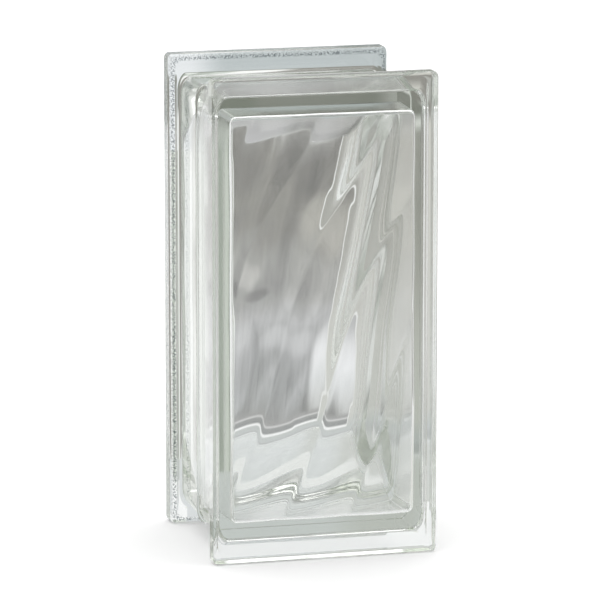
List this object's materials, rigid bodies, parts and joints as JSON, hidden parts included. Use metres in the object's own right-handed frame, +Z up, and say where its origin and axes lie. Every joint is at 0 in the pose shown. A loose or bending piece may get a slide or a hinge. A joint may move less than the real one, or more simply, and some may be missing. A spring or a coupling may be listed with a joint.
{
  "type": "half-size hollow glass block",
  "caption": "Half-size hollow glass block: pressed-glass halves fused at a seam, waves on the inner faces, a mortar channel round the edge.",
  "frame": {"origin": "middle of the block's base, on the short end that it stands on", "axes": "+Z up along the block's long side; +X across its width; the faces look along -Y (front) and +Y (back)"},
  "size_m": [0.09, 0.08, 0.19],
  "materials": {
    "clear_glass": "clear pressed glass, fire-polished faces, finely stippled rim edges"
  },
  "bodies": {
    "root": {"front_half": "clear_glass", "back_half": "clear_glass"}
  },
  "joints": []
}
